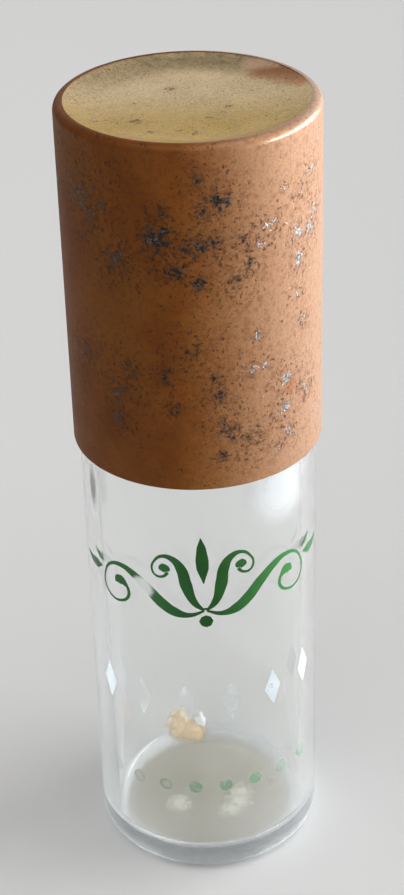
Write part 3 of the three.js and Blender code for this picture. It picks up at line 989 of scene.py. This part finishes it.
def print_tree(material):
    """Repeats flat strokes in a row, makes ribbons of them, and wraps them round the glass."""
    sizes = ("Glass radius", "Thickness", "Tilt", "Along", "Level", "Count", "Spacing")
    tree, given = new_tree("wrapped_print", sizes)
    count = given.out("Count")
    spacing = given.out("Spacing")
    step = node(tree, "ShaderNodeCombineXYZ", {0: spacing})
    start = node(tree, "ShaderNodeCombineXYZ", {0: (1.0 - count) * spacing * 0.5})
    sockets = {"Count": count, "Start Location": start, "Offset": step}
    row = node(tree, "GeometryNodeMeshLine", sockets)
    repeated = node(tree, "GeometryNodeInstanceOnPoints", {"Points": row, "Instance": given})
    strokes = node(tree, "GeometryNodeRealizeInstances", {0: repeated})
    square = {0: 2.0 * MM, 1: 2.0 * MM}
    outline = node(tree, "GeometryNodeCurvePrimitiveQuadrilateral", square, {"mode": "RECTANGLE"})
    section = node(tree, "GeometryNodeSubdivideCurve", {"Curve": outline, "Cuts": 3})
    width = node(tree, "GeometryNodeInputRadius")
    sockets = {"Curve": strokes, "Profile Curve": section, "Scale": width, "Fill Caps": True}
    ribbon = node(tree, "GeometryNodeCurveToMesh", sockets)
    end_tree(tree, wrap_round_glass(tree, ribbon, given), material)
    return tree


def wrap_round_glass(tree, geometry, given):
    """Moves flat geometry, along X and up Y, onto the glass as a thin tilted layer."""
    place = node(tree, "GeometryNodeInputPosition")
    flat_along, flat_up, side = split(tree, place)
    tilt = given.out("Tilt")
    cosine = tilt.math("COSINE")
    sine = tilt.math("SINE")
    along = flat_along * cosine - flat_up * sine + given.out("Along")
    up = flat_along * sine + flat_up * cosine + given.out("Level")
    layer = side.smooth(-0.002 * MM, 0.002 * MM)
    reach = given.out("Glass radius") + layer * given.out("Thickness")
    angle = along / given.out("Glass radius")
    sockets = {0: reach * angle.math("SINE"), 1: 0.0 - reach * angle.math("COSINE"), 2: up}
    round_place = node(tree, "ShaderNodeCombineXYZ", sockets)
    return node(tree, "GeometryNodeSetPosition", {"Geometry": geometry, "Position": round_place})


def printed(name, one_sided, mirrored, material, level, count=1, spacing=0.0):
    """A printed piece: strokes drawn once, strokes drawn on both sides, and how they repeat."""
    curve = bpy.data.curves.new(name, "CURVE")
    curve.dimensions = "3D"
    curve.twist_mode = "Z_UP"
    for points in mirrored:
        stroke(curve, points, 1)
        stroke(curve, points, -1)
    for points in one_sided:
        stroke(curve, points, 1)
    source = placed(name + "_strokes", curve)
    sizes = {"Glass radius": BODY_R + PRINT_LIFT, "Thickness": PRINT_THICKNESS, "Tilt": PRINT_TILT}
    sizes.update({"Along": PRINT_MIDDLE * MM, "Level": level, "Count": count, "Spacing": spacing})
    mesh = grown_mesh(source, print_tree(material), sizes)
    bpy.data.objects.remove(source)
    mesh.shade_smooth()
    mesh.set_sharp_from_angle(angle=math.radians(PRINT_SHARP))
    return show(name, mesh)


# Dried perfume inside: angle from the front, climb from the floor's corner, width, height, thickness
RESIDUE_SPOTS = (
    (200, 0.9, 1.0, 1.3, 0.3), (201, -0.1, 1.5, 1.7, 0.5), (193, -0.9, 1.6, 1.2, 0.5),
    (188, -1.4, 1.2, 1.0, 0.4),
)
CRYSTAL_SPOTS = ((185, 0.0, 0.55, 0.75, 0.4),)
SPOT_RINGS = 10
SPOT_SPOKES = 48
WELD = 0.0005 * MM


def cavity_point(degrees, climb, lift):
    """A point on the inside of the glass, lifted off it.

    Climb runs up the wall and, below 0, round to the floor.
    """
    corner = CAVITY_R - FLOOR_CORNER
    bend = FLOOR_CORNER * math.pi / 2
    if climb >= 0:
        return on_round(CAVITY_R - lift, degrees, BASE + FLOOR_CORNER + climb)
    if climb > -bend:
        turn = climb / FLOOR_CORNER
        bow = FLOOR_CORNER - lift
        height = BASE + FLOOR_CORNER + bow * math.sin(turn)
        return on_round(corner + bow * math.cos(turn), degrees, height)
    radius = corner + climb + bend
    crown = FLOOR_CROWN * math.sqrt(max(0.0, 1 - (radius / corner) ** 2))
    return on_round(radius, degrees, BASE + crown + lift)


def wavy_outline(turn, phase):
    return 1 + 0.16 * math.sin(3 * turn + phase) + 0.1 * math.sin(5 * turn + 2 * phase)


def residue(name, drops, material):
    """Low drops that sit on the inside of the glass, with a wavy outline."""
    vertices = []
    faces = []
    for degrees, climb, wide, tall, thick in drops:
        for side in (0, 1):
            base = len(vertices)
            for ring in range(SPOT_RINGS + 1):
                share = ring / SPOT_RINGS
                for spoke in range(SPOT_SPOKES):
                    turn = 2 * math.pi * spoke / SPOT_SPOKES
                    wave = share * wavy_outline(turn, degrees)
                    across = wide * wave * math.cos(turn)
                    up = climb + tall * wave * math.sin(turn)
                    bulge = (1 - share ** 2) * (1 + 0.2 * math.sin(4 * turn) * share)
                    level = 0.01 + side * thick * bulge
                    reach = max(abs(cavity_point(degrees, up * MM, 0.0).xy.length), MM)
                    angle = degrees + math.degrees(across * MM / reach)
                    vertices.append(cavity_point(angle, up * MM, level * MM))
            faces += drop_faces(base, side)
    piece = make_piece(name, vertices, faces, material, GLASS_SHARP)
    weld(piece)
    return piece


def floor_film(material):
    """A thin layer on the floor inside, which runs out up the rounded corner."""
    middle = -(CAVITY_R - FLOOR_CORNER) - FLOOR_CORNER * math.pi / 2
    steps = 40
    lower = []
    upper = []
    for i in range(steps + 1):
        climb = middle + (FILM_REACH - middle) * i / steps
        for layer, lift in ((lower, FILM_LIFT), (upper, FILM_LIFT + FILM_THICKNESS)):
            point = cavity_point(0, climb, lift)
            layer.append((max(0.0, -point.y), point.z))
    return turned("floor_film", lower + upper[::-1], material)


def drop_faces(base, side):
    """Quads between the rings of one side of a drop, facing into the bottle on side 1."""
    faces = []
    for ring in range(SPOT_RINGS):
        for spoke in range(SPOT_SPOKES):
            following = (spoke + 1) % SPOT_SPOKES
            row = base + ring * SPOT_SPOKES
            above = row + SPOT_SPOKES
            corners = [row + spoke, above + spoke, above + following, row + following]
            faces.append(corners if side else corners[::-1])
    return faces


def weld(piece):
    """Joins vertices that lie on each other, so that the mesh is closed."""
    work = bmesh.new()
    work.from_mesh(piece.data)
    bmesh.ops.remove_doubles(work, verts=work.verts, dist=WELD)
    bmesh.ops.recalc_face_normals(work, faces=work.faces)
    work.to_mesh(piece.data)
    work.free()


# Stage, lights and camera

FLOOR_COLOUR = rgb(0.69, 0.69, 0.69)
FLOOR_SHADE = rgb(0.57, 0.57, 0.57)
FLOOR_HALF = 3.0
FLOOR_DROP = 0.0001
FLOOR_SHADED = (-0.08, 0.1)
FLOOR_FADE = (0.14, 0.36)
BACKDROP_COLOUR = rgb(0.62, 0.62, 0.615)
AMBIENT_COLOUR = rgb(1.0, 0.985, 0.96)
AMBIENT = 0.17
# Lamps: name, place, target, width, height, power and colour
LAMPS = (
    ("window", (1.3, 0.2, 0.2), (0.0, 0.0, 0.04), 1.6, 0.38, 52.0, (0.97, 0.99, 1.0)),
    ("ceiling", (0.05, -0.4, 1.35), (0.0, 0.0, 0.0), 1.7, 1.2, 12.5, (1.0, 0.99, 0.97)),
    ("wall", (0.15, 1.3, 0.55), (0.0, 0.0, 0.06), 1.8, 0.7, 3.3, (1.0, 1.0, 1.0)),
)


def floor_surface():
    """A pale floor that passes into the backdrop's even tone far behind the bottle."""
    material, tree, place = new_material("pale_floor")
    cloud = noise(tree, place, 0.12, 3.0)
    side = split(tree, place)[0].smooth(*FLOOR_SHADED)
    near = principled(tree, {
        "Base Color": blend(tree, side * 0.8 + cloud * 0.2, FLOOR_COLOUR, FLOOR_SHADE),
        "Roughness": 0.7,
        "Specular IOR Level": 0.2,
    })
    far = distance(tree, place, (0.0, 0.0, 0.0)).smooth(*FLOOR_FADE)
    even = node(tree, "ShaderNodeEmission", {"Color": BACKDROP_COLOUR})
    sockets = {0: far * seen_ray(tree), 1: near, 2: even}
    set_surface(tree, node(tree, "ShaderNodeMixShader", sockets))
    return material


def make_floor():
    signs = ((-1, -1), (1, -1), (1, 1), (-1, 1))
    corners = [(x * FLOOR_HALF, y * FLOOR_HALF, -FLOOR_DROP) for x, y in signs]
    mesh = bpy.data.meshes.new("floor")
    mesh.from_pydata(corners, [], [(0, 1, 2, 3)])
    mesh.materials.append(floor_surface())
    floor = placed("floor", mesh)


def make_light(name, place, target, width, height, power, colour):
    light = bpy.data.lights.new(name, "AREA")
    light.shape = "RECTANGLE"
    light.size = width
    light.size_y = height
    light.energy = power
    light.color = colour
    lamp = placed(name, light)
    lamp.visible_camera = False
    lamp.location = place
    lamp.rotation_euler = (Vector(target) - Vector(place)).to_track_quat("-Z", "Y").to_euler()


def make_world():
    """Dim warm surroundings, which the camera sees as a pale backdrop, also through the glass."""
    world = bpy.data.worlds.new("studio")
    bpy.context.scene.world = world
    world.use_nodes = True
    tree = world.node_tree
    tree.nodes.clear()
    dim = node(tree, "ShaderNodeBackground", {"Color": AMBIENT_COLOUR, "Strength": AMBIENT})
    even = node(tree, "ShaderNodeBackground", {"Color": BACKDROP_COLOUR})
    both = node(tree, "ShaderNodeMixShader", {0: seen_ray(tree), 1: dim, 2: even})
    last = tree.nodes.new("ShaderNodeOutputWorld")
    tree.links.new(both.socket, last.inputs["Surface"])


def make_camera():
    camera = bpy.data.cameras.new("camera")
    camera.sensor_width = SENSOR
    camera.lens = FOCAL_PX * SENSOR / FRAME_HEIGHT_PX
    camera.clip_start = 0.01
    view = placed("camera", camera)
    yaw = Matrix.Rotation(CAMERA_YAW, 4, "Z")
    pitch = Matrix.Rotation(math.radians(90) - CAMERA_PITCH, 4, "X")
    roll = Matrix.Rotation(CAMERA_ROLL, 4, "Z")
    view.matrix_world = Matrix.Translation(CAMERA_PLACE) @ yaw @ pitch @ roll
    bpy.context.scene.camera = view


def dress(piece, body, node):
    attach(piece, body)
    if node:
        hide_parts(node)


bpy.context.scene.view_settings.view_transform = "Standard"
make_camera()
make_world()
make_floor()
for lamp in LAMPS:
    make_light(*lamp)

glass_finish = clear_glass()
dress(glass_bottle(glass_finish), "bottle", "glass_bottle")
plug_finish = milky_plastic("plug_plastic", rgb(0.86, 0.85, 0.81), rgb(0.8, 0.79, 0.74))
dress(pour_plug(plug_finish), "bottle", "pour_plug")
foil = liner_layer("liner_foil", FOIL_LOW, FOIL_HIGH, pressed_foil())
dress(foil, "liner", "liner_facing")
board = liner_layer("liner_board", WAD_LOW, WAD_HIGH, pulpboard())
dress(board, "liner", "liner_backing")
socket_finish = milky_plastic("inner_cap_plastic", rgb(0.8, 0.77, 0.68), rgb(0.72, 0.68, 0.58))
dress(inner_cap(socket_finish), "cap", "inner_cap")
dress(cap_sleeve(copper_lacquer()), "cap", "cap_sleeve")
dress(top_disc(gold_disc()), "cap", "cap_top_disc")
green_tones = (rgb(0.01, 0.08, 0.009), rgb(0.042, 0.19, 0.048))
green_ink = printed_ink("green_ink", *green_tones, 0.72, GREEN_WORN, soft=0.3, thin=0.85)
white_tones = (rgb(0.5, 0.55, 0.59), rgb(0.58, 0.63, 0.66))
white_ink = printed_ink("white_ink", *white_tones, 0.6, WHITE_WORN, soft=0.9, cover=0.88, glow=0.9)
faint_tones = (rgb(0.13, 0.36, 0.2), rgb(0.22, 0.45, 0.29))
faint_ink = printed_ink("faint_ink", *faint_tones, 0.52, FAINT_WORN, soft=0.9, cover=0.42, glow=0.2)
scroll = printed("scroll_print", SCROLL_MIDDLE, SCROLL_SIDE, green_ink, PRINT_LEVEL * MM)
dress(scroll, "bottle", None)
lozenge_row = (LOZENGE_LEVEL, LOZENGE_COUNT, LOZENGE_SPACING)
lozenges = printed("lozenge_row", (LOZENGE,), (), white_ink, *lozenge_row)
dress(lozenges, "bottle", None)
point_row = (POINT_LEVEL, POINT_COUNT, POINT_SPACING)
points = printed("point_row", (POINT,), (), faint_ink, *point_row)
dress(points, "bottle", None)
dress(residue("residue", RESIDUE_SPOTS, dried_perfume(RESIDUE_SPOTS)), "bottle", None)
dress(residue("crystal", CRYSTAL_SPOTS, white_crystal()), "bottle", None)
dress(floor_film(perfume_film()), "bottle", None)
